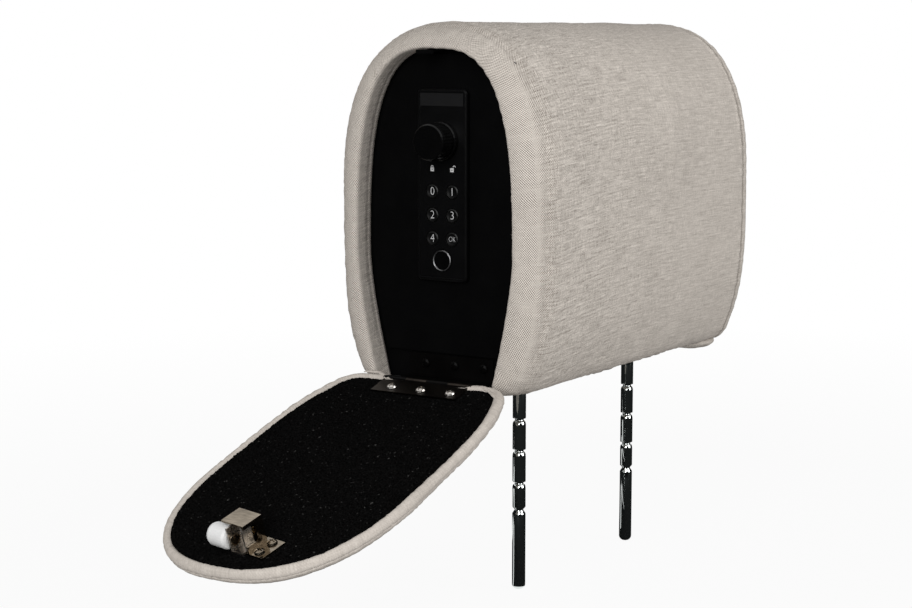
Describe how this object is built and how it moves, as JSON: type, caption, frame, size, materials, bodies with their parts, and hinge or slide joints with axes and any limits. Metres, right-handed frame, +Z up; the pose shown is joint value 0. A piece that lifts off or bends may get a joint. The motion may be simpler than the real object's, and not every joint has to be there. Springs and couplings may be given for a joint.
{
  "type": "padded headrest car safe",
  "caption": "Padded car headrest that hides a keypad safe: a hinged end flap, a sliding lockable drawer and notched chrome posts.",
  "frame": {"origin": "midway between the two posts, on the plane of the padded body's underside", "axes": "+X along the body from the open end to the sewn end, +Z up, -Y towards the side that the posts stand nearer to"},
  "size_m": [0.5883, 0.1758, 0.4203],
  "materials": {
    "cloth": "greige linen-look weave",
    "foam": "moulded foam",
    "carpet": "black felted lining",
    "board": "raw board",
    "black_steel": "black powder coat",
    "black_plastic": "black moulded plastic",
    "grey_plastic": "dark grey plastic",
    "chrome": "polished chrome",
    "zinc": "zinc plated steel",
    "nickel": "nickel plated steel",
    "nylon": "white nylon",
    "circuit": "green circuit board"
  },
  "bodies": {
    "root": {"cover_wrap": "cloth", "cover_end_panel": "cloth", "foam_body": "foam", "steel_housing": "black_steel", "post_carrier": "zinc", "post_front": "chrome", "post_nut_front": "zinc", "post_rear": "chrome", "post_nut_rear": "zinc", "catch_strike": "black_steel", "rail_outer_left": "zinc", "rail_outer_right": "zinc", "hinge_body_leaf": "black_steel", "hinge_pin": "zinc", "hinge_body_screw_1": "black_steel", "hinge_body_screw_2": "black_steel", "hinge_body_screw_3": "black_steel"},
    "rail_middle": {"rail_middle_left": "zinc", "rail_middle_right": "zinc"},
    "drawer": {"rail_inner_left": "zinc", "rail_inner_right": "zinc", "drawer_front": "black_steel", "drawer_tray": "black_steel", "tray_liner": "foam", "keypad_housing": "black_plastic", "label_strip": "grey_plastic", "fingerprint_ring": "zinc", "fingerprint_sensor": "grey_plastic", "knob_collar": "black_plastic", "lock_cover": "black_steel", "control_board": "circuit", "battery_box": "black_plastic", "lock_solenoid": "zinc"},
    "knob": {"knob": "black_plastic", "knob_spindle": "zinc"},
    "bolt_left": {"bolt_left": "zinc"},
    "bolt_right": {"bolt_right": "zinc"},
    "plunger": {"solenoid_plunger": "zinc"},
    "flap": {"flap_cover": "cloth", "flap_board": "board", "flap_lining": "carpet", "hinge_flap_leaf": "zinc", "hinge_flap_screw_1": "zinc", "hinge_flap_screw_2": "zinc", "hinge_flap_screw_3": "zinc", "catch_bracket": "nickel", "catch_screw_1": "nickel", "catch_screw_2": "nickel", "catch_spring": "nickel"},
    "catch_slider": {"catch_slider": "nickel", "catch_axle": "nickel"},
    "catch_roller": {"catch_roller": "nylon"},
    "key_0": {"key_0": "black_plastic"},
    "key_1": {"key_1": "black_plastic"},
    "key_2": {"key_2": "black_plastic"},
    "key_3": {"key_3": "black_plastic"},
    "key_4": {"key_4": "black_plastic"},
    "key_ok": {"key_ok": "black_plastic"}
  },
  "joints": [
    {"name": "flap_hinge", "type": "hinge", "parent": "root", "child": "flap", "pos_m": [-0.184, 0.019, 0.0078], "axis": [0, -1, 0], "range_deg": [-110.7, 0]},
    {"name": "drawer_slide", "type": "slide", "parent": "root", "child": "drawer", "axis": [-1, 0, 0], "range_m": [0, 0.2]},
    {"name": "rail_middle_slide", "type": "slide", "parent": "root", "child": "rail_middle", "axis": [-1, 0, 0], "range_m": [0, 0.1]},
    {"name": "knob_turn", "type": "hinge", "parent": "drawer", "child": "knob", "pos_m": [-0.1645, 0.019, 0.1755], "axis": [1, 0, 0], "range_deg": [-90, 0]},
    {"name": "bolt_left_slide", "type": "slide", "parent": "drawer", "child": "bolt_left", "axis": [0, 1, 0], "range_m": [0, 0.008]},
    {"name": "bolt_right_slide", "type": "slide", "parent": "drawer", "child": "bolt_right", "axis": [0, -1, 0], "range_m": [0, 0.008]},
    {"name": "plunger_drop", "type": "slide", "parent": "drawer", "child": "plunger", "axis": [0, 0, 1], "range_m": [-0.0015, 0]},
    {"name": "catch_slide", "type": "slide", "parent": "flap", "child": "catch_slider", "axis": [-0.9339, 0.1564, -0.3216], "range_m": [-0.0025, 0], "stiffness_N_per_m": 500, "springref_m": 0.001},
    {"name": "catch_roller_spin", "type": "hinge", "parent": "catch_slider", "child": "catch_roller", "pos_m": [-0.39613, 0.02505, -0.05647], "axis": [0.1479, 0.9877, 0.0509], "continuous": true},
    {"name": "key_0_press", "type": "slide", "parent": "drawer", "child": "key_0", "axis": [1, 0, 0], "range_m": [0, 0.0008], "stiffness_N_per_m": 500},
    {"name": "key_1_press", "type": "slide", "parent": "drawer", "child": "key_1", "axis": [1, 0, 0], "range_m": [0, 0.0008], "stiffness_N_per_m": 500},
    {"name": "key_2_press", "type": "slide", "parent": "drawer", "child": "key_2", "axis": [1, 0, 0], "range_m": [0, 0.0008], "stiffness_N_per_m": 500},
    {"name": "key_3_press", "type": "slide", "parent": "drawer", "child": "key_3", "axis": [1, 0, 0], "range_m": [0, 0.0008], "stiffness_N_per_m": 500},
    {"name": "key_4_press", "type": "slide", "parent": "drawer", "child": "key_4", "axis": [1, 0, 0], "range_m": [0, 0.0008], "stiffness_N_per_m": 500},
    {"name": "key_ok_press", "type": "slide", "parent": "drawer", "child": "key_ok", "axis": [1, 0, 0], "range_m": [0, 0.0008], "stiffness_N_per_m": 500}
  ],
  "couplings": [
    {"joint": "knob_turn", "follows": "bolt_left_slide", "rad_per_m": -196.35},
    {"joint": "bolt_right_slide", "follows": "bolt_left_slide", "ratio": 1},
    {"joint": "rail_middle_slide", "follows": "drawer_slide", "ratio": 0.5}
  ]
}
